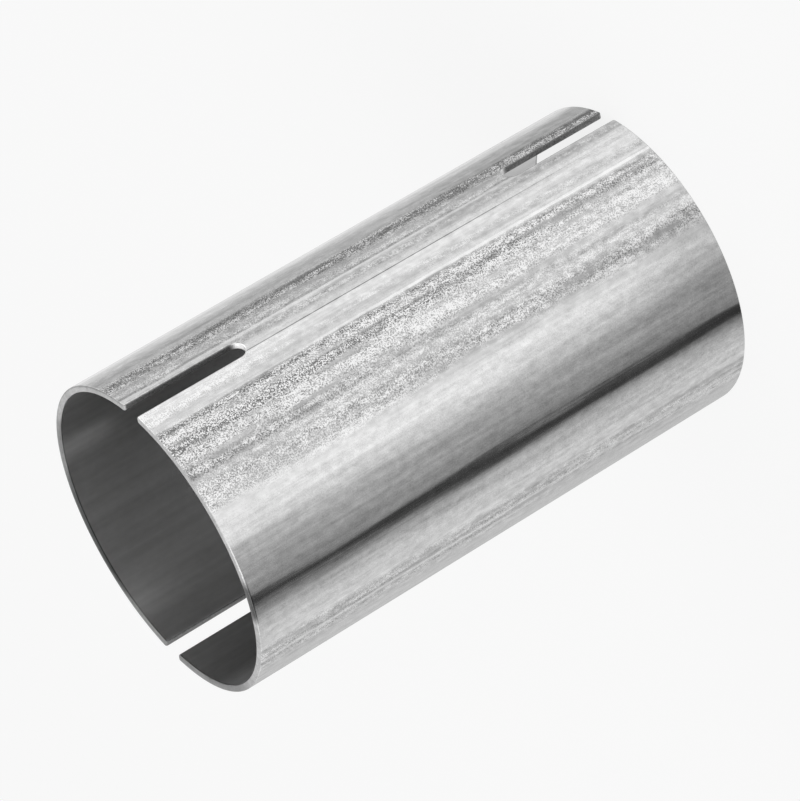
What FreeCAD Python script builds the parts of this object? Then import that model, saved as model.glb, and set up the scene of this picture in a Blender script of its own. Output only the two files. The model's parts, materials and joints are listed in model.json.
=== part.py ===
"""Slotted splice sleeve: one thin steel tube, cut square, with a pair of relief slots in each end.

The sleeve stands on its lower end. The origin is the centre of that end, +Z is the tube's axis and +X
runs out through the first slot of the upper end. Lengths are in millimetres, turns in degrees.
"""

import FreeCAD, Part
import math
import os

import Sketcher

# Driving dimensions: alias, value and what it measures
SIZES = [
    ("outer_diameter", 56.0, "outside of the tube"),
    ("wall", 1.2, "thickness of the steel"),
    ("sleeve_length", 100.0, "from end face to end face"),
    ("rim_break", 0.25, "radius on the edges of both end faces"),
    ("slot_width", 3.5, "clear width of a relief slot"),
    ("slot_length", 22.0, "from the end face to the tip of the slot's round end"),
    ("mouth_round", 0.4, "radius on the corners where a slot opens into the end face"),
    ("slot_spread", 174.7, "turn about the axis between the two slots of one end"),
    ("lower_turn", 9.3, "turn about the axis from the upper pair of slots to the lower pair"),
]
SLOTS_IN_AN_END = 2

# Sketcher's names for the points of a curve and for the sketch's own origin and axes
START = 1
END = 2
CENTRE = 3
ORIGIN = -1
ACROSS = -1
INWARD = -2


def size_sheet(doc):
    """The spreadsheet that holds the driving dimensions."""
    sheet = doc.addObject("Spreadsheet::Sheet", "Sizes")
    for row, (alias, value, meaning) in enumerate(SIZES, start=1):
        sheet.set(f"A{row}", meaning)
        sheet.set(f"B{row}", str(value))
        sheet.setAlias(f"B{row}", alias)
    doc.recompute()
    return sheet


def origin_feature(body, role):
    """A plane or axis of the body's own origin."""
    return next(feature for feature in body.Origin.OriginFeatures if feature.Role == role)


def sketch_on(body, name, plane, offset):
    """An empty sketch on one of the body's origin planes, moved by an offset in that plane's frame."""
    sketch = body.newObject("Sketcher::SketchObject", name)
    sketch.AttachmentSupport = [(origin_feature(body, plane), "")]
    sketch.MapMode = "FlatFace"
    sketch.AttachmentOffset = offset
    return sketch


def drive(sketch, kind, points, value, expression):
    """A dimension of a sketch that follows the size sheet."""
    index = sketch.addConstraint(Sketcher.Constraint(kind, *points, value))
    sketch.setExpression(f"Constraints[{index}]", expression)


def plain_tube(body, sheet):
    """The length of tube, with the edges of its end faces rounded."""
    doc = body.Document
    ring = sketch_on(body, "ring", "XY_Plane", FreeCAD.Placement())
    centre = FreeCAD.Vector()
    up = FreeCAD.Vector(0, 0, 1)
    bore_diameter = sheet.outer_diameter - 2 * sheet.wall
    outside = ring.addGeometry(Part.Circle(centre, up, sheet.outer_diameter / 2))
    bore = ring.addGeometry(Part.Circle(centre, up, bore_diameter / 2))
    ring.addConstraint(Sketcher.Constraint("Coincident", outside, CENTRE, ORIGIN, START))
    ring.addConstraint(Sketcher.Constraint("Coincident", bore, CENTRE, ORIGIN, START))
    drive(ring, "Diameter", [outside], sheet.outer_diameter, "Sizes.outer_diameter")
    drive(ring, "Diameter", [bore], bore_diameter, "Sizes.outer_diameter - 2 * Sizes.wall")

    tube = body.newObject("PartDesign::Pad", "tube")
    tube.Profile = ring
    tube.setExpression("Length", "Sizes.sleeve_length")
    doc.recompute()

    rims = [f"Edge{number}" for number, edge in enumerate(tube.Shape.Edges, start=1)
            if isinstance(edge.Curve, Part.Circle)]
    rounded = body.newObject("PartDesign::Fillet", "rounded_rims")
    rounded.Base = (tube, rims)
    rounded.setExpression("Radius", "Sizes.rim_break")
    doc.recompute()
    return rounded


def slot_outline(sketch, sheet):
    """A slot drawn in from the end face, which is the sketch's own horizontal axis.

    The inner end is a half circle, and the mouth flares into the end face by a small radius.
    """
    half = sheet.slot_width / 2
    lip = sheet.mouth_round
    tip_centre = sheet.slot_length - half
    beyond = -sheet.slot_width
    normal = FreeCAD.Vector(0, 0, 1)

    def line(x_from, y_from, x_to, y_to):
        ends = FreeCAD.Vector(x_from, y_from), FreeCAD.Vector(x_to, y_to)
        return sketch.addGeometry(Part.LineSegment(*ends))

    def arc(x, y, radius, first, last):
        circle = Part.Circle(FreeCAD.Vector(x, y), normal, radius)
        return sketch.addGeometry(Part.ArcOfCircle(circle, first, last))

    tip = arc(0, tip_centre, half, 0, math.pi)
    left_side = line(-half, tip_centre, -half, lip)
    left_lip = arc(-half - lip, lip, lip, -math.pi / 2, 0)
    left_run_out = line(-half - lip, 0, -half - lip, beyond)
    outside = line(-half - lip, beyond, half + lip, beyond)
    right_run_out = line(half + lip, beyond, half + lip, 0)
    right_lip = arc(half + lip, lip, lip, math.pi, 3 * math.pi / 2)
    right_side = line(half, lip, half, tip_centre)

    for relation in (
        ("Tangent", tip, END, left_side, START),
        ("Tangent", left_side, END, left_lip, END),
        ("Coincident", left_lip, START, left_run_out, START),
        ("Coincident", left_run_out, END, outside, START),
        ("Coincident", outside, END, right_run_out, START),
        ("Coincident", right_run_out, END, right_lip, END),
        ("Tangent", right_lip, START, right_side, START),
        ("Tangent", right_side, END, tip, START),
        ("Vertical", left_side),
        ("Vertical", right_side),
        ("Vertical", left_run_out),
        ("Vertical", right_run_out),
        ("Horizontal", outside),
        ("PointOnObject", tip, CENTRE, INWARD),
        ("PointOnObject", left_lip, START, ACROSS),
        ("PointOnObject", right_lip, END, ACROSS),
        ("Vertical", left_lip, CENTRE, left_lip, START),
        ("Vertical", right_lip, CENTRE, right_lip, END),
        ("Equal", left_lip, right_lip),
    ):
        sketch.addConstraint(Sketcher.Constraint(*relation))
    drive(sketch, "Radius", [tip], half, "Sizes.slot_width / 2")
    drive(sketch, "Radius", [left_lip], lip, "Sizes.mouth_round")
    depth = [ORIGIN, START, tip, CENTRE]
    drive(sketch, "DistanceY", depth, tip_centre, "Sizes.slot_length - Sizes.slot_width / 2")
    run_out = [left_run_out, END, left_run_out, START]
    drive(sketch, "DistanceY", run_out, -beyond, "Sizes.slot_width")


def slot_pair(body, sheet, name, sketch):
    """Cuts the sketched slot out through one side of the wall, and its fellow on the other side."""
    doc = body.Document
    slot_outline(sketch, sheet)
    slot = body.newObject("PartDesign::Pocket", f"{name}_slot")
    slot.Profile = sketch
    slot.Type = "ThroughAll"
    slot.Reversed = True
    doc.recompute()

    pair = body.newObject("PartDesign::PolarPattern", f"{name}_pair")
    pair.Originals = [slot]
    pair.Axis = (origin_feature(body, "Z_Axis"), [""])
    pair.Occurrences = SLOTS_IN_AN_END
    pair.setExpression("Angle", "Sizes.slot_spread")
    body.Tip = pair
    doc.recompute()
    return slot, pair


def splice_sleeve(doc, sheet):
    """The sleeve: tube first, then the upper and the lower pair of slots."""
    body = doc.addObject("PartDesign::Body", "splice_sleeve")
    body.Label = "splice_sleeve"
    body.Placement = FreeCAD.Placement()
    steps = [plain_tube(body, sheet)]

    # The upper sketch hangs down from the upper end face
    turned_over = FreeCAD.Rotation(FreeCAD.Vector(0, 0, 1), 180)
    at_top = FreeCAD.Placement(FreeCAD.Vector(0, sheet.sleeve_length, 0), turned_over)
    upper = sketch_on(body, "upper_outline", "YZ_Plane", at_top)
    upper.setExpression("AttachmentOffset.Base.y", "Sizes.sleeve_length")
    steps += slot_pair(body, sheet, "upper", upper)

    # The lower sketch stands on the lower end face and is turned about the tube's axis
    turned_about_axis = FreeCAD.Rotation(FreeCAD.Vector(0, 1, 0), sheet.lower_turn)
    at_bottom = FreeCAD.Placement(FreeCAD.Vector(), turned_about_axis)
    lower = sketch_on(body, "lower_outline", "YZ_Plane", at_bottom)
    lower.setExpression("AttachmentOffset.Rotation.Angle", "Sizes.lower_turn")
    steps += slot_pair(body, sheet, "lower", lower)
    return body, steps


def check(doc, body, steps):
    """Stops if anything failed to build, or if a slot took no steel away."""
    failed = [item.Name for item in doc.Objects if "Invalid" in item.State or "Error" in item.State]
    if failed:
        raise RuntimeError(f"failed to build: {failed}")
    if body.Shape.isNull() or not body.Shape.isValid() or len(body.Shape.Solids) != 1:
        raise RuntimeError(f"{body.Label} is not one valid solid")
    for before, after in zip(steps, steps[1:]):
        if not after.Shape.Volume < before.Shape.Volume:
            raise RuntimeError(f"{after.Name} cut nothing")


def main():
    doc = FreeCAD.newDocument("SpliceSleeve")
    sheet = size_sheet(doc)
    body, steps = splice_sleeve(doc, sheet)
    doc.recompute()
    check(doc, body, steps)
    os.makedirs("parts", exist_ok=True)
    body.Shape.exportStep(f"parts/{body.Label}.step")
    print(f"{body.Label}: {body.Shape.Volume:.1f} cubic mm")


main()
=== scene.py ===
"""Looks of the slotted splice sleeve: a zinc-coated steel tube standing on a pale studio floor.

The sleeve is made anew as a fine mesh with rounded edges in the place of its CAD solid. Its wall is a
developed sheet, cut at the slots, rolled up and given its thickness. Lengths are in metres.
"""

import json
import math

import bpy
from mathutils import Matrix, Vector


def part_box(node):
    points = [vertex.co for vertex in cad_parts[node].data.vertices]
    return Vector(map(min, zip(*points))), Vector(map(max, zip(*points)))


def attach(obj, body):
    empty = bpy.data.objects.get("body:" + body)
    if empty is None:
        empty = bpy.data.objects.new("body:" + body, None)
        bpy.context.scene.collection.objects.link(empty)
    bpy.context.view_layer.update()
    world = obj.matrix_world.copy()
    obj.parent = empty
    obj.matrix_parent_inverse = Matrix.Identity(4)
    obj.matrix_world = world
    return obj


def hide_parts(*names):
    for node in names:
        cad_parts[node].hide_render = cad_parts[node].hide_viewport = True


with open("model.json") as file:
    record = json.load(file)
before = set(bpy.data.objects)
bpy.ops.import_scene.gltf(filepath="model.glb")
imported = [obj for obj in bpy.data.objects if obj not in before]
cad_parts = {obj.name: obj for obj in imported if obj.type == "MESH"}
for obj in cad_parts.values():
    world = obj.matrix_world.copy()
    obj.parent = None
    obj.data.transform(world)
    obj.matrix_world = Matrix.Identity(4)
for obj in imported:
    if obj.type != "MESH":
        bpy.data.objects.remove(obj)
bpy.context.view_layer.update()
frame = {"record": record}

NODE = "splice_sleeve"
MM = 0.001

# Sizes that the frame gives
low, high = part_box(NODE)
MIDDLE = (low + high) / 2
OUTER_RADIUS = (high.x - low.x) / 2
LENGTH = high.z - low.z
BORE_RADIUS = next(m for m in frame["record"]["mounts"] if m["name"] == "bore")["dims"]["r_mm"] * MM

# Sizes of the slots and edges, as in the CAD model
SLOT_WIDTH = 3.5 * MM
SLOT_LENGTH = 22.0 * MM
SLOT_SPREAD = math.radians(174.7)
LOWER_TURN = math.radians(9.3)
MOUTH_ROUND = 0.4 * MM
EDGE_ROUND = 0.25 * MM

# How far the drawn tube is from truly round, and how fine its waves are round it and along it
RIPPLE = 0.012 * MM
RIPPLE_SCALE = 3.0
RIPPLE_ALONG = 8.0
RIPPLE_DETAIL = 1.0

# Mesh of the developed sheet: faces across a slot, between slots, and along half of the length
ACROSS_SLOT = 16
SHORT_GAP = 4
LONG_GAP = 140
MOUTH_ROWS = 4
STRAIGHT_ROWS = 10
TIP_ROWS = 10
MIDDLE_ROWS = 12
TIP_REACH = 6 * MM
EDGE_STEPS = 3
MERGE_DISTANCE = 0.0001 * MM

# Camera of the photograph: its side, height and roll in degrees, where the sleeve's middle is in its view,
# in outer radii, its focal length and picture height in pixels, and its sensor and clipping
CAMERA_AZIMUTH = -43.757
CAMERA_ELEVATION = 23.076
CAMERA_ROLL = -120.724
SLEEVE_IN_VIEW = Vector((0.0192, 0.0408, -25.1583))
FOCAL_PIXELS = 4278
FRAME_PIXELS = 801
SENSOR = 36.0
CLIP_START = 0.01
CLIP_END = 50.0

# Straight lines along the tube, the dark seam and a painted highlight line: azimuth and half width in
# degrees, change of tone, and the shares of the length at which the line starts and is full
SEAM_AND_HIGHLIGHT_LINES = [
    (-2.7, 0.3, -0.5, 0.0, 0.4),
    (-13.3, 0.8, 0.24, 0.85, 0.5),
]
LINE_CORE = 1 / 3

# Bands drawn along the tube: azimuth at the lower end, how far it has moved at the upper end, half width
# and soft edge, all in degrees, then change of tone, frost, and how much of both there is at either end
BANDS = [
    (24.0, 0.0, 5.0, 2.0, 0.00, 0.22, 1.0, 1.0),
    (15.9, 0.0, 1.4, 2.4, -0.27, 1.0, 1.3, 0.9),
    (10.2, 0.0, 2.5, 1.5, -0.02, 0.45, 1.0, 1.0),
    (6.8, 0.0, 0.3, 0.5, -0.18, 0.3, 1.0, 1.0),
    (5.0, 0.0, 0.8, 0.6, 0.10, 0.0, 0.0, 1.2),
    (3.0, 0.0, 1.2, 1.4, -0.15, 0.35, 1.0, 1.0),
    (-6.5, 0.0, 3.0, 2.0, 0.11, 0.18, 0.1, 1.4),
    (-9.3, 0.0, 1.2, 1.0, -0.09, 0.25, 1.2, 0.3),
    (-31.0, 0.0, 11.0, 8.0, 0.00, 0.38, 1.0, 1.0),
    (-15.0, 0.0, 0.9, 0.5, -0.32, 0.55, 0.15, 0.9),
    (-17.2, 0.0, 1.7, 1.4, -0.12, 0.8, 0.8, 0.4),
    (-19.2, 0.0, 1.0, 1.5, 0.06, 0.2, 0.2, 1.4),
    (-19.2, -2.5, 1.1, 1.0, -0.25, 0.6, 0.1, 1.1),
    (-25.0, 0.0, 3.5, 2.0, 0.00, 0.3, 0.9, 1.1),
    (-26.0, 0.0, 2.2, 1.2, 0.05, 0.0, 1.2, -1.0),
    (-31.4, 0.0, 1.4, 1.0, -0.10, 0.2, -0.9, 1.4),
    (-33.0, 0.0, 0.7, 1.2, -0.10, 0.0, 1.3, 0.7),
    (-36.0, 0.0, 2.6, 1.5, -0.07, 0.0, 1.0, 1.0),
    (-38.4, 0.0, 0.8, 0.8, -0.05, 0.15, 0.8, 1.0),
    (-41.5, 0.0, 0.6, 4.0, -0.12, 0.22, 1.4, 0.5),
    (-49.5, 0.0, 3.0, 3.0, 0.07, 0.0, 0.6, 1.4),
    (-106.0, 0.0, 5.5, 4.0, 0.00, 0.28, 1.0, 1.0),
    (-101.8, 0.0, 0.8, 0.8, -0.05, 0.1, 1.0, 1.0),
    (-104.6, 0.0, 0.6, 0.6, -0.11, 0.3, 1.0, 1.0),
    (-106.6, 0.0, 0.3, 0.3, 0.13, 0.0, 1.0, 1.0),
    (-108.4, 0.0, 0.5, 0.5, -0.06, 0.3, 1.0, 1.0),
]

# Noises of the drawn metal: size round the tube, size along it, and detail
NOISES = {
    "dents": (5.0 * MM, 45.0 * MM, 1.0),
    "wander": (9.0 * MM, 25.0 * MM, 2.0),
    "broad_lines": (4.0 * MM, 200.0 * MM, 2.0),
    "lines": (1.3 * MM, 110.0 * MM, 2.0),
    "fine_lines": (0.35 * MM, 22.0 * MM, 2.0),
    "patches": (1.6 * MM, 12.0 * MM, 2.0),
    "blotches": (1.0 * MM, 1.7 * MM, 2.0),
    "grain": (0.24 * MM, 0.22 * MM, 1.0),
}

# How many degrees the noises move a band, and how many more the edge of its frost
BAND_WANDER = {"wander": 1.5, "patches": 1.2}
FROST_FEATHER = {"grain": 5.0, "blotches": 2.0}

# Bands of the side away from the camera: degrees from the camera's side at which they start and are full,
# the noises that place them, the levels of those at which frost starts and is full, and how much there is
BACK_START = (75, 95)
BACK_BANDS = {"broad_lines": 1.6, "lines": 1.0}
BACK_LEVELS = (0.0, 0.35)
BACK_FROST = 0.6

# Frost: the noises that leave gaps in it and their levels, its strength, the least of it, how fine its
# crystals are, how much they show at either end, and how far they, the frost and the noises change the tone
FROST_GAPS = {"patches": 1.0, "lines": 0.5, "blotches": 0.4}
FROST_LEVELS = (-0.4, 0.15)
FROST_STRENGTH = 1.15
FROST_LEAST = 0.08
CRYSTAL_FINENESS = 6.0
CRYSTAL_SHARES = (0.76, 1.11)
CRYSTAL_TONE = 0.7
FROST_TONE = 0.04
FROST_MOTTLE = {"patches": 0.6, "lines": 0.3, "blotches": 0.7}

# Tones from black to white: the zinc and its darkest speck, the walls of the slots and the bore, then how
# much lighter the rims are, the painted glint on the round ends of the slots, and the painted shade on the
# rims' outer edge on one side
ZINC_TONE = 0.72
SPECK_TONE = 0.2
SLOT_WALL_TONE = 0.2
BORE_TONE = 0.57
RIM_LIFT = 0.24
TIP_GLINT = 0.7
RIM_EDGE_SHADE = 0.16

# How far the noises change those tones
ZINC_STREAKS = {
    "broad_lines": 0.16, "lines": 0.36, "fine_lines": 0.2, "patches": 0.2, "blotches": 0.34, "grain": 0.6,
}
CUT_STREAKS = {"patches": 0.3, "grain": 0.3}
BORE_STREAKS = {"lines": 0.18, "broad_lines": 0.2, "blotches": 0.1}

# Where surfaces fade into each other: under the outside, over the bore, and from either end of the tube
SKIN_FADE = (0.06 * MM, 0.018 * MM)
RIM_EDGE_SHADE_FADE = (0.4 * MM, 0.12 * MM)
BORE_FADE = (0.05 * MM, 0.015 * MM)
RIM_FADE = (0.5 * MM, 0.3 * MM)
TIP_GLINT_FADE = (SLOT_LENGTH - 1.8 * MM, SLOT_LENGTH - 0.5 * MM)

# The side of the rims with painted shade on their outer edge: azimuth, and the angles from it at which the
# shade starts and is full
RIM_EDGE_SHADE_SIDE = (90, 101.5, 72.5)

# Stretches of the rims with painted shade: azimuth, the angles from it at which the shade starts and is
# full, how much it darkens the rim, and how much of it there is at either end
RIM_PAINTED_SHADE = [
    (150, 90.0, 69.5, 0.5, 1.0, 1.0),
    (124, 31.8, 11.5, 0.35, 1.0, 1.0),
    (-79, 9.6, 4.4, 0.8, 0.0, 1.0),
]

# Roughness of the zinc, the cut edges and the bore, and what full frost and fine lines add to it
ZINC_ROUGHNESS = 0.1
CUT_ROUGHNESS = 0.48
BORE_ROUGHNESS = 0.3
FROST_ROUGHNESS = 0.25
LINE_ROUGHNESS = 0.04

# How far the slots' walls fall short of bare metal, how much further the rims do, and the gloss they get
SLOT_WALL_DULLNESS = 0.2
RIM_DULLNESS = 0.3
GLOSS = 0.25

# Relief: its depth, the noises that make it, the share of the crystals, and how much smoother the bore is
RELIEF_DEPTH = 0.05 * MM
RELIEF = {"dents": 6.0, "lines": 0.25, "fine_lines": 0.04, "blotches": 0.1}
CRYSTAL_RELIEF = 0.06
BORE_SMOOTHING = 0.7

# Studio: the background, how much of it the floor has without light, the floor and the light from all round
BACKGROUND = 0.94
PAINTED_SHARE = 0.9
FLOOR_GREY = 0.9
FLOOR_RADIUS = 4.0
AMBIENT = 0.8
ROUND_CORNERS = 64

# Soft boxes: azimuth and elevation in degrees, distance, size and power
LAMPS = {
    "key_lamp": (-100, 50, 1.4, 1.2, 7.0),
    "fill_lamp": (40, 40, 1.4, 1.2, 3.5),
}

# Graded card round the foot of the sleeve: how much of the floor it lets through, by the angle from the
# camera, in degrees, of the ray by which the sleeve shows it
CARD_RADIUS = 0.6
CARD_LIFT = 0.02 * MM
CARD_GRADES = [
    (-180, 0.80), (-170, 0.62), (-160, 0.64), (-120, 0.72), (-110, 0.84), (-100, 0.78), (-90, 0.63),
    (-81.5, 0.40), (-76.5, 0.22), (-74.1, 0.05), (-67.8, 0.05), (-66.3, 0.26), (-60.5, 0.34), (-40, 0.51),
    (-34, 0.63), (-30, 0.78), (-15, 1.0), (95, 1.0), (115, 0.66), (128, 0.55), (138, 0.58), (146, 0.66),
    (154, 0.82), (165, 0.93), (180, 0.80),
]
RAY_STEPS = 2

# The grades bend away from the sleeve: by how much, and between which shares of the card's radius
CARD_BEND = math.radians(1.2)
CARD_BEND_REACH = (0.22, 0.42)

# The card is darker near the sleeve: by how much, how near, round which angle and how far from that
CARD_SHADE = 0.3
SHADE_NEARNESS = (0.1, 0.9)
SHADE_ANGLE = math.radians(-20)
SHADE_SPREAD = (math.radians(40), math.radians(15))


class Value:
    """A socket of a node tree. Sums written with it add Math nodes to its tree."""

    def __init__(self, tree, socket):
        self.tree = tree
        self.socket = socket

    def math(self, operation, *others, first=None):
        inputs = [self, *others] if first is None else [first, self]
        return self.tree.node("ShaderNodeMath", {"operation": operation}, dict(enumerate(inputs)))

    def __add__(self, other):
        return self.math("ADD", other)

    def __radd__(self, other):
        return self.math("ADD", first=other)

    def __sub__(self, other):
        return self.math("SUBTRACT", other)

    def __rsub__(self, other):
        return self.math("SUBTRACT", first=other)

    def __mul__(self, other):
        return self.math("MULTIPLY", other)

    def __rmul__(self, other):
        return self.math("MULTIPLY", first=other)

    def __truediv__(self, other):
        return self.math("DIVIDE", other)

    def __rtruediv__(self, other):
        return self.math("DIVIDE", first=other)

    def __pow__(self, other):
        return self.math("POWER", other)

    def __abs__(self):
        return self.math("ABSOLUTE")

    def __gt__(self, other):
        return self.math("GREATER_THAN", other)

    def __lt__(self, other):
        return self.math("LESS_THAN", other)

    def sin(self):
        return self.math("SINE")

    def cos(self):
        return self.math("COSINE")

    def asin(self):
        return self.math("ARCSINE")

    def lower(self, other):
        return self.math("MINIMUM", other)

    def higher(self, other):
        return self.math("MAXIMUM", other)

    def share(self, start, end):
        """From 0 at start to 1 at end, in a straight line."""
        return self.tree.node("ShaderNodeMapRange", {"clamp": True}, {0: self, 1: start, 2: end})

    def ease(self, start, end):
        """From 0 at start to 1 at end, smoothly."""
        settings = {"interpolation_type": "SMOOTHSTEP"}
        return self.tree.node("ShaderNodeMapRange", settings, {0: self, 1: start, 2: end})


class Tree:
    """A node tree under construction."""

    def __init__(self, nodes):
        self.nodes = nodes

    def node(self, kind, settings=None, sockets=None, output=0):
        """Adds a node, sets it up, fills or links its sockets and returns one of its outputs."""
        made = self.nodes.nodes.new(kind)
        for name, setting in (settings or {}).items():
            if name == "stops":
                set_stops(made.color_ramp, setting)
            else:
                setattr(made, name, setting)
        for key, filling in (sockets or {}).items():
            for one in filling if isinstance(filling, list) else [filling]:
                if isinstance(one, Value):
                    self.nodes.links.new(one.socket, made.inputs[key])
                else:
                    made.inputs[key].default_value = one
        return Value(self, made.outputs[output]) if made.outputs else made

    def also(self, value, output):
        """Another output of the node that gave a value."""
        return Value(self, value.socket.node.outputs[output])


class TubeTree(Tree):
    """The node tree of the tube's finish, with the place on the tube and the noises of its metal."""

    def __init__(self, nodes):
        super().__init__(nodes)
        self.point = self.node("ShaderNodeTexCoord", output="Object")
        self.x = self.node("ShaderNodeSeparateXYZ", {}, {0: self.point})
        self.y = self.also(self.x, "Y")
        self.along = self.also(self.x, "Z") / LENGTH
        self.radius = (self.x * self.x + self.y * self.y) ** 0.5
        self.noises = {name: self.cloud(*sizes) for name, sizes in NOISES.items()}

    def cloud(self, across, lengthwise, detail):
        """Noise about as large as across round the tube and as lengthwise along it, around nought."""
        size = (1 / across, 1 / across, 1 / lengthwise)
        spot = self.node("ShaderNodeVectorMath", {"operation": "MULTIPLY"}, {0: self.point, 1: size})
        return self.node("ShaderNodeTexNoise", {}, {"Vector": spot, "Scale": 1.0, "Detail": detail}) - 0.5

    def blend(self, weights):
        """Noises added up by their weights."""
        total = 0.0
        for name, weight in weights.items():
            total = self.noises[name] * weight + total
        return total

    def between(self, lower, upper):
        """From one number at the lower end of the tube to another at the upper end."""
        return self.along * (upper - lower) + lower

    def facing(self, azimuth, start, full):
        """From 0 to 1 between two angles from an azimuth, on both sides of it."""
        turn = math.radians(azimuth)
        towards = (self.x * math.cos(turn) + self.y * math.sin(turn)) / self.radius
        return towards.ease(math.cos(math.radians(start)), math.cos(math.radians(full)))


def set_stops(ramp, stops):
    """Gives a colour ramp its stops, each a place and a grey."""
    while len(ramp.elements) < len(stops):
        ramp.elements.new(1.0)
    for element, (place, grey) in zip(ramp.elements, stops):
        element.position = place
        element.color = (grey, grey, grey, 1.0)


def empty_nodes(owner):
    """The emptied node tree of a material or a world."""
    owner.use_nodes = True
    owner.node_tree.nodes.clear()
    return owner.node_tree


def add_object(name, data):
    """A new object in the scene."""
    made = bpy.data.objects.new(name, data)
    bpy.context.scene.collection.objects.link(made)
    return made


def edge_stages():
    """Radius and inset of the sheet from the bore to the outside, so that both its edges come out round."""
    turns = [math.pi / 2 * step / EDGE_STEPS for step in range(EDGE_STEPS + 1)]
    corner = [(EDGE_ROUND * (1 - math.cos(t)), EDGE_ROUND * (1 - math.sin(t))) for t in turns]
    inner = [(BORE_RADIUS + rise, inset) for rise, inset in corner]
    outer = [(OUTER_RADIUS - rise, inset) for rise, inset in corner]
    return inner + outer[::-1]


def sleeve_tree():
    """Geometry nodes that make the sleeve from its sizes."""
    group = bpy.data.node_groups.new("slotted_sleeve", "GeometryNodeTree")
    sizes = ["Length", "Slot width", "Slot length", "Slot spread", "Lower turn", "Mouth round", "Ripple"]
    for name in sizes:
        group.interface.new_socket(name, in_out="INPUT", socket_type="NodeSocketFloat")
    group.interface.new_socket("Finish", in_out="INPUT", socket_type="NodeSocketMaterial")
    group.interface.new_socket("Sleeve", in_out="OUTPUT", socket_type="NodeSocketGeometry")
    tree = Tree(group)
    length = tree.node("NodeGroupInput", output="Length")
    width, depth, spread, turn, mouth, ripple = (tree.also(length, name) for name in sizes[1:])

    # A flat grid of unit squares: columns run round the tube, rows along it
    half_turn = 2 * ACROSS_SLOT + SHORT_GAP + LONG_GAP
    half_length = MOUTH_ROWS + STRAIGHT_ROWS + TIP_ROWS + MIDDLE_ROWS
    columns = 2 * half_turn
    rows = 2 * half_length
    grid = tree.node("GeometryNodeMeshGrid", {}, {
        "Size X": columns, "Size Y": rows, "Vertices X": columns + 1, "Vertices Y": rows + 1,
    })
    flat_x = tree.node("ShaderNodeSeparateXYZ", {}, {0: tree.node("GeometryNodeInputPosition")})
    flat_y = tree.also(flat_x, "Y")
    column = flat_x + columns / 2
    row = flat_y + rows / 2

    # Where a column lies: band of an upper slot, short gap, band of a lower slot, long gap
    second = column > half_turn
    step = column - half_turn * second
    upper_band = step.share(0, ACROSS_SLOT)
    short_gap = step.share(ACROSS_SLOT, ACROSS_SLOT + SHORT_GAP)
    lower_band = step.share(ACROSS_SLOT + SHORT_GAP, 2 * ACROSS_SLOT + SHORT_GAP)
    long_gap = step.share(2 * ACROSS_SLOT + SHORT_GAP, half_turn)

    # Where a row lies, counted from the nearer end
    upper = row > half_length
    from_end = row.lower(rows - row)
    at_mouth = from_end.share(0, MOUTH_ROWS)
    tip_row = MOUTH_ROWS + STRAIGHT_ROWS
    straight = from_end.share(MOUTH_ROWS, tip_row)
    past_tip = from_end.share(tip_row, tip_row + TIP_ROWS)
    middle = from_end.share(tip_row + TIP_ROWS, half_length)
    tip_depth = depth - width / 2

    def rolled(radius, inset):
        """The sheet rolled to a radius, with its edges drawn in by an inset."""
        lip = mouth - inset
        half = width / 2 + mouth - lip * (at_mouth * (math.pi / 2)).sin()

        def band(across):
            return (half * (across * math.pi).cos() / -radius).asin()

        edge = (half / radius).asin()
        pitch = spread + second * (2 * math.pi - 2 * spread)
        turned = (
            second * spread + band(upper_band) + edge + band(lower_band)
            + (turn - 2 * edge) * short_gap + (pitch - turn - 2 * edge) * long_gap
        )
        arch = half * ((upper_band * math.pi).sin() * upper + (lower_band * math.pi).sin() * (1 - upper))
        inward = (
            mouth - lip * (at_mouth * (math.pi / 2)).cos() + (tip_depth - mouth) * straight
            + TIP_REACH * past_tip + (length / 2 - tip_depth - TIP_REACH) * middle + arch * (1 - past_tip)
        )
        z = inward + upper * (length - 2 * inward)
        around = tree.node("ShaderNodeCombineXYZ", {}, {
            0: turned.cos(), 1: turned.sin(), 2: z * RIPPLE_ALONG,
        })
        wave = tree.node("ShaderNodeTexNoise", {}, {
            "Vector": around, "Scale": RIPPLE_SCALE, "Detail": RIPPLE_DETAIL,
        })
        true_radius = radius - ripple * wave
        return tree.node("ShaderNodeCombineXYZ", {}, {
            0: true_radius * turned.cos(), 1: true_radius * turned.sin(), 2: z,
        })

    # The slots are cut out of the flat grid
    def inside(band):
        return (band > 0) * (band < 1)

    slots = (from_end < tip_row) * (inside(upper_band) * upper + inside(lower_band) * (1 - upper))
    sheet = tree.node("GeometryNodeDeleteGeometry", {"domain": "FACE"}, {
        "Geometry": grid, "Selection": slots,
    })

    # Every stage's place is kept on the sheet, which is then rolled to the bore
    stages = edge_stages()
    kept = {"data_type": "FLOAT_VECTOR", "domain": "POINT"}
    for number, (radius, inset) in enumerate(stages):
        sheet = tree.node("GeometryNodeStoreNamedAttribute", kept, {
            "Geometry": sheet, "Name": f"stage_{number}", "Value": rolled(radius, inset),
        })

    def stage(number):
        settings = {"data_type": "FLOAT_VECTOR"}
        return tree.node("GeometryNodeInputNamedAttribute", settings, {"Name": f"stage_{number}"})

    sheet = tree.node("GeometryNodeSetPosition", {}, {"Geometry": sheet, "Position": stage(0)})
    sheet = tree.node("GeometryNodeMergeByDistance", {}, {"Geometry": sheet, "Distance": MERGE_DISTANCE})

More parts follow.
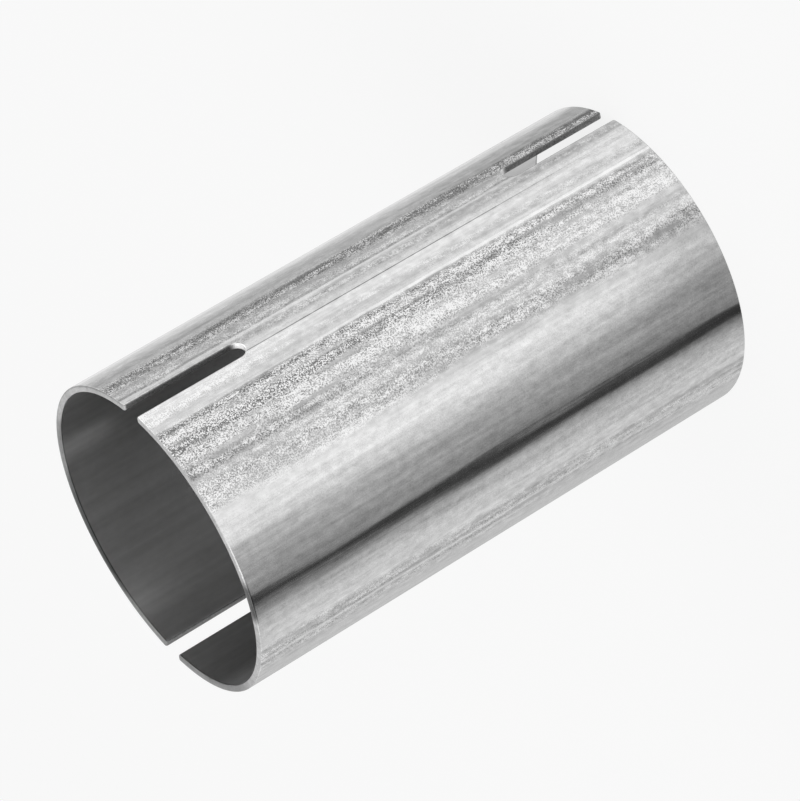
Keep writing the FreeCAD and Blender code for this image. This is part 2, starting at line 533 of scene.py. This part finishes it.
    # The wall grows outwards stage by stage
    wall = sheet
    skin = True
    for number in range(1, len(stages)):
        wall = tree.node("GeometryNodeExtrudeMesh", {}, {
            "Mesh": wall, "Selection": skin, "Offset Scale": 0.0, "Individual": False,
        })
        skin = tree.also(wall, "Top")
        wall = tree.node("GeometryNodeSetPosition", {}, {
            "Geometry": wall, "Selection": skin, "Position": stage(number),
        })
    bore = tree.node("GeometryNodeFlipFaces", {}, {"Mesh": sheet})
    sleeve = tree.node("GeometryNodeJoinGeometry", {}, {"Geometry": [wall, bore]})
    sleeve = tree.node("GeometryNodeMergeByDistance", {}, {"Geometry": sleeve, "Distance": MERGE_DISTANCE})
    sleeve = tree.node("GeometryNodeRemoveAttribute", {"pattern_mode": "WILDCARD"}, {
        "Geometry": sleeve, "Name": "stage_*",
    })
    sleeve = tree.node("GeometryNodeSetShadeSmooth", {}, {"Geometry": sleeve})
    sleeve = tree.node("GeometryNodeRealizeInstances", {}, {"Geometry": sleeve})
    sleeve = tree.node("GeometryNodeSetMaterial", {}, {
        "Geometry": sleeve, "Material": tree.also(length, "Finish"),
    })
    tree.node("NodeGroupOutput", {}, {"Sleeve": sleeve})
    return group


def drawn_bands(tube):
    """Change of tone and frost by the bands and lines along the tube."""
    azimuth_here = tube.y.math("ARCTAN2", tube.x) * (180 / math.pi)

    # Bands wander a little from side to side along the tube, and their frost feathers out at the edges
    turned = azimuth_here + tube.blend(BAND_WANDER)
    feathered = turned + tube.blend(FROST_FEATHER)
    tone = 0.0
    frost = 0.0
    for azimuth, lean, half_width, soft, change, icy, lower, upper in BANDS:
        centre = tube.between(azimuth, azimuth + lean)
        share = tube.between(lower, upper)
        tone = abs(turned - centre).ease(half_width + soft, half_width) * share * change + tone
        frost = abs(feathered - centre).ease(half_width + soft, half_width) * share * icy + frost

    # The dark seam, and a thin painted highlight along the tube
    for azimuth, half_width, change, start, full in SEAM_AND_HIGHLIGHT_LINES:
        line = abs(azimuth_here - azimuth).ease(half_width, half_width * LINE_CORE)
        tone = line * tube.along.ease(start, full) * change + tone

    # The side away from the camera has bands of its own, at random
    away = abs(turned - CAMERA_AZIMUTH).ease(*BACK_START)
    frost = frost + away * tube.blend(BACK_BANDS).ease(*BACK_LEVELS) * BACK_FROST
    gaps = tube.blend(FROST_GAPS).ease(*FROST_LEVELS)
    return tone, frost * gaps * FROST_STRENGTH + FROST_LEAST


def zinc_coat():
    """Bright zinc on drawn steel, with streaks, frosted bands, grey cut edges and a dull bore, and a
    painted highlight line, painted glints on the round slot ends and painted shade on the rims.
    """
    material = bpy.data.materials.new("zinc_coat")
    tube = TubeTree(empty_nodes(material))
    tone, frost = drawn_bands(tube)
    crystals = (tube.noises["grain"] * CRYSTAL_FINENESS).sin() * frost * tube.between(*CRYSTAL_SHARES)

    # Where the coated outside, the bore, the rims and the round ends of the slots are
    depth = OUTER_RADIUS - tube.radius
    from_end = (0.5 - abs(tube.along - 0.5)) * LENGTH
    skin = depth.ease(*SKIN_FADE)
    bore = (tube.radius - BORE_RADIUS).ease(*BORE_FADE)
    bare = (1 - skin) * (1 - bore)
    rim = from_end.ease(*RIM_FADE)
    # A painted glint on the round ends of the slots
    tip = from_end.ease(*TIP_GLINT_FADE)
    # Painted shade, a darker reflection, on the outer edge of the rims on one side
    rim_edge_shade = depth.ease(*RIM_EDGE_SHADE_FADE) * tube.facing(*RIM_EDGE_SHADE_SIDE) * rim
    # Painted shade on stretches of the rims, where they reflect darker surroundings
    rim_painted_shade = 0.0
    for azimuth, start, full, change, lower, upper in RIM_PAINTED_SHADE:
        rim_painted_shade = tube.facing(azimuth, start, full) * tube.between(lower, upper) * change + rim_painted_shade

    # Tone of each surface, and of them all
    mottle = FROST_TONE - tube.blend(FROST_MOTTLE)
    coated = ZINC_TONE + tone + tube.blend(ZINC_STREAKS) - crystals * CRYSTAL_TONE - frost * mottle
    # The cut edges get the painted glint on the slot ends and the painted shade on the rims
    cut = SLOT_WALL_TONE + rim * RIM_LIFT + tip * TIP_GLINT - rim_edge_shade * RIM_EDGE_SHADE + tube.blend(CUT_STREAKS)
    dull = BORE_TONE + tube.blend(BORE_STREAKS)
    level = cut + skin * (coated.higher(SPECK_TONE) - cut) + bore * (dull - cut)
    # The rims darken by the painted shade
    level = level * (1 - rim_painted_shade * rim)
    colour = tube.node("ShaderNodeCombineColor", {}, {0: level, 1: level, 2: level})

    # Gloss and relief
    metal = 1 - bare * (SLOT_WALL_DULLNESS + rim * RIM_DULLNESS)
    roughness = (
        CUT_ROUGHNESS + skin * (ZINC_ROUGHNESS - CUT_ROUGHNESS + frost * FROST_ROUGHNESS)
        + bore * (BORE_ROUGHNESS - CUT_ROUGHNESS) + tube.noises["fine_lines"] * LINE_ROUGHNESS
    )
    height = (tube.blend(RELIEF) + crystals * CRYSTAL_RELIEF) * (1 - bore * BORE_SMOOTHING)
    relief = tube.node("ShaderNodeBump", {}, {"Strength": 1.0, "Distance": RELIEF_DEPTH, "Height": height})
    shader = tube.node("ShaderNodeBsdfPrincipled", {}, {
        "Base Color": colour, "Metallic": metal, "Roughness": roughness, "Normal": relief,
        "Specular IOR Level": GLOSS,
    })
    tube.node("ShaderNodeOutputMaterial", {}, {"Surface": shader})
    return material


def make_sleeve(finish):
    """The finished sleeve as a plain mesh."""
    maker = add_object("sleeve_maker", bpy.data.meshes.new("sleeve_maker"))
    modifier = maker.modifiers.new("sleeve", "NODES")
    modifier.node_group = sleeve_tree()
    fillings = {
        "Length": LENGTH, "Slot width": SLOT_WIDTH, "Slot length": SLOT_LENGTH, "Slot spread": SLOT_SPREAD,
        "Lower turn": LOWER_TURN, "Mouth round": MOUTH_ROUND, "Ripple": RIPPLE, "Finish": finish,
    }
    for item in modifier.node_group.interface.items_tree:
        if item.in_out == "INPUT":
            modifier[item.identifier] = fillings[item.name]
    evaluated = maker.evaluated_get(bpy.context.evaluated_depsgraph_get())
    mesh = bpy.data.meshes.new_from_object(evaluated)
    mesh.name = "sleeve"
    bpy.data.objects.remove(maker)
    return add_object("sleeve", mesh)


def add_camera():
    """The photograph's camera."""
    turn = (
        Matrix.Rotation(math.radians(CAMERA_AZIMUTH + 90), 3, "Z")
        @ Matrix.Rotation(math.radians(90 - CAMERA_ELEVATION), 3, "X")
        @ Matrix.Rotation(math.radians(CAMERA_ROLL), 3, "Z")
    )
    data = bpy.data.cameras.new("camera")
    data.sensor_width = SENSOR
    data.lens = FOCAL_PIXELS / FRAME_PIXELS * SENSOR
    data.clip_start = CLIP_START
    data.clip_end = CLIP_END
    camera = add_object("camera", data)
    place = MIDDLE - turn @ SLEEVE_IN_VIEW * OUTER_RADIUS
    camera.matrix_world = Matrix.Translation(place) @ turn.to_4x4()
    bpy.context.scene.camera = camera


def seen_directly(tree):
    """1 for rays that show the background itself: from the camera, from a mirror or through glass."""
    path = tree.node("ShaderNodeLightPath", output="Is Camera Ray")
    return path.higher(tree.also(path, "Is Glossy Ray")).higher(tree.also(path, "Is Transmission Ray"))


def ring(radius, height):
    """Points round the sleeve's axis."""
    turns = [2 * math.pi * n / ROUND_CORNERS for n in range(ROUND_CORNERS)]
    return [(radius * math.cos(t), radius * math.sin(t), height) for t in turns]


def add_floor():
    """A pale floor that keeps a soft shadow."""
    mesh = bpy.data.meshes.new("floor")
    mesh.from_pydata(ring(FLOOR_RADIUS, low.z), [], [list(range(ROUND_CORNERS))])
    material = bpy.data.materials.new("floor")
    tree = Tree(empty_nodes(material))
    lit = tree.node("ShaderNodeBsdfDiffuse", {}, {"Color": (FLOOR_GREY, FLOOR_GREY, FLOOR_GREY, 1)})
    painted = tree.node("ShaderNodeEmission", {}, {"Strength": BACKGROUND})
    share = seen_directly(tree) * PAINTED_SHARE
    both = tree.node("ShaderNodeMixShader", {}, {0: share, 1: lit, 2: painted})
    tree.node("ShaderNodeOutputMaterial", {}, {"Surface": both})
    mesh.materials.append(material)
    floor = add_object("floor", mesh)


def graded_shade():
    """Black that lets the floor through by the card's grades."""
    material = bpy.data.materials.new("graded_card")
    tree = Tree(empty_nodes(material))
    x = tree.node("ShaderNodeSeparateXYZ", {}, {0: tree.node("ShaderNodeTexCoord", output="Object")})
    y = tree.also(x, "Y")

    # The angle of the ray by which the sleeve's wall shows a place on the card, bettered step by step
    around = y.math("ARCTAN2", x)
    reach = (x * x + y * y) ** 0.5
    nearness = OUTER_RADIUS / reach
    ray = around * 2 / (2 - nearness)
    for _ in range(RAY_STEPS):
        ray = around + ((ray / 2).sin() * nearness).asin()

    bend = (reach / CARD_RADIUS).ease(*CARD_BEND_REACH) * CARD_BEND
    stops = [(degrees / 360 + 0.5, through) for degrees, through in CARD_GRADES]
    grade = tree.node("ShaderNodeValToRGB", {"stops": stops}, {0: (ray + bend) / (2 * math.pi) + 0.5})
    shade = nearness.ease(*SHADE_NEARNESS) * abs(ray - SHADE_ANGLE).ease(*SHADE_SPREAD)
    clear = grade * (1 - shade * CARD_SHADE)
    black = tree.node("ShaderNodeBsdfDiffuse", {}, {"Color": (0, 0, 0, 1)})
    gap = tree.node("ShaderNodeBsdfTransparent")
    both = tree.node("ShaderNodeMixShader", {}, {0: clear, 1: black, 2: gap})
    tree.node("ShaderNodeOutputMaterial", {}, {"Surface": both})
    return material


def add_graded_card():
    """A card on the floor that only shows in the metal. It shades from clear to black round the sleeve."""
    points = ring(OUTER_RADIUS - EDGE_ROUND, 0.0) + ring(CARD_RADIUS, 0.0)
    pairs = [(n, (n + 1) % ROUND_CORNERS) for n in range(ROUND_CORNERS)]
    faces = [[n, after, ROUND_CORNERS + after, ROUND_CORNERS + n] for n, after in pairs]
    mesh = bpy.data.meshes.new("graded_card")
    mesh.from_pydata(points, [], faces)
    mesh.materials.append(graded_shade())
    card = add_object("graded_card", mesh)
    card.location.z = low.z + CARD_LIFT
    card.rotation_euler.z = math.radians(CAMERA_AZIMUTH)
    card.visible_camera = False
    card.visible_diffuse = False
    card.visible_shadow = False
    card.visible_transmission = False


def add_world():
    """Even light from all round."""
    world = bpy.data.worlds.new("studio")
    bpy.context.scene.world = world
    tree = Tree(empty_nodes(world))
    strength = AMBIENT + seen_directly(tree) * (BACKGROUND - AMBIENT)
    glow = tree.node("ShaderNodeBackground", {}, {"Color": (1, 1, 1, 1), "Strength": strength})
    tree.node("ShaderNodeOutputWorld", {}, {"Surface": glow})


def add_lamp(name, azimuth, elevation, distance, size, power):
    """A square soft box that faces the sleeve."""
    data = bpy.data.lights.new(name, "AREA")
    data.size = size
    data.energy = power
    lamp = add_object(name, data)
    side = math.radians(azimuth)
    rise = math.radians(elevation)
    away = Vector((math.cos(side) * math.cos(rise), math.sin(side) * math.cos(rise), math.sin(rise)))
    turn = away.to_track_quat("Z", "Y").to_matrix()
    lamp.matrix_world = Matrix.Translation(MIDDLE + away * distance) @ turn.to_4x4()


sleeve = make_sleeve(zinc_coat())
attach(sleeve, "root")
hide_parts(NODE)

add_camera()
add_floor()
add_graded_card()
add_world()
for lamp_name, lamp_values in LAMPS.items():
    add_lamp(lamp_name, *lamp_values)
bpy.context.scene.view_settings.view_transform = "Standard"
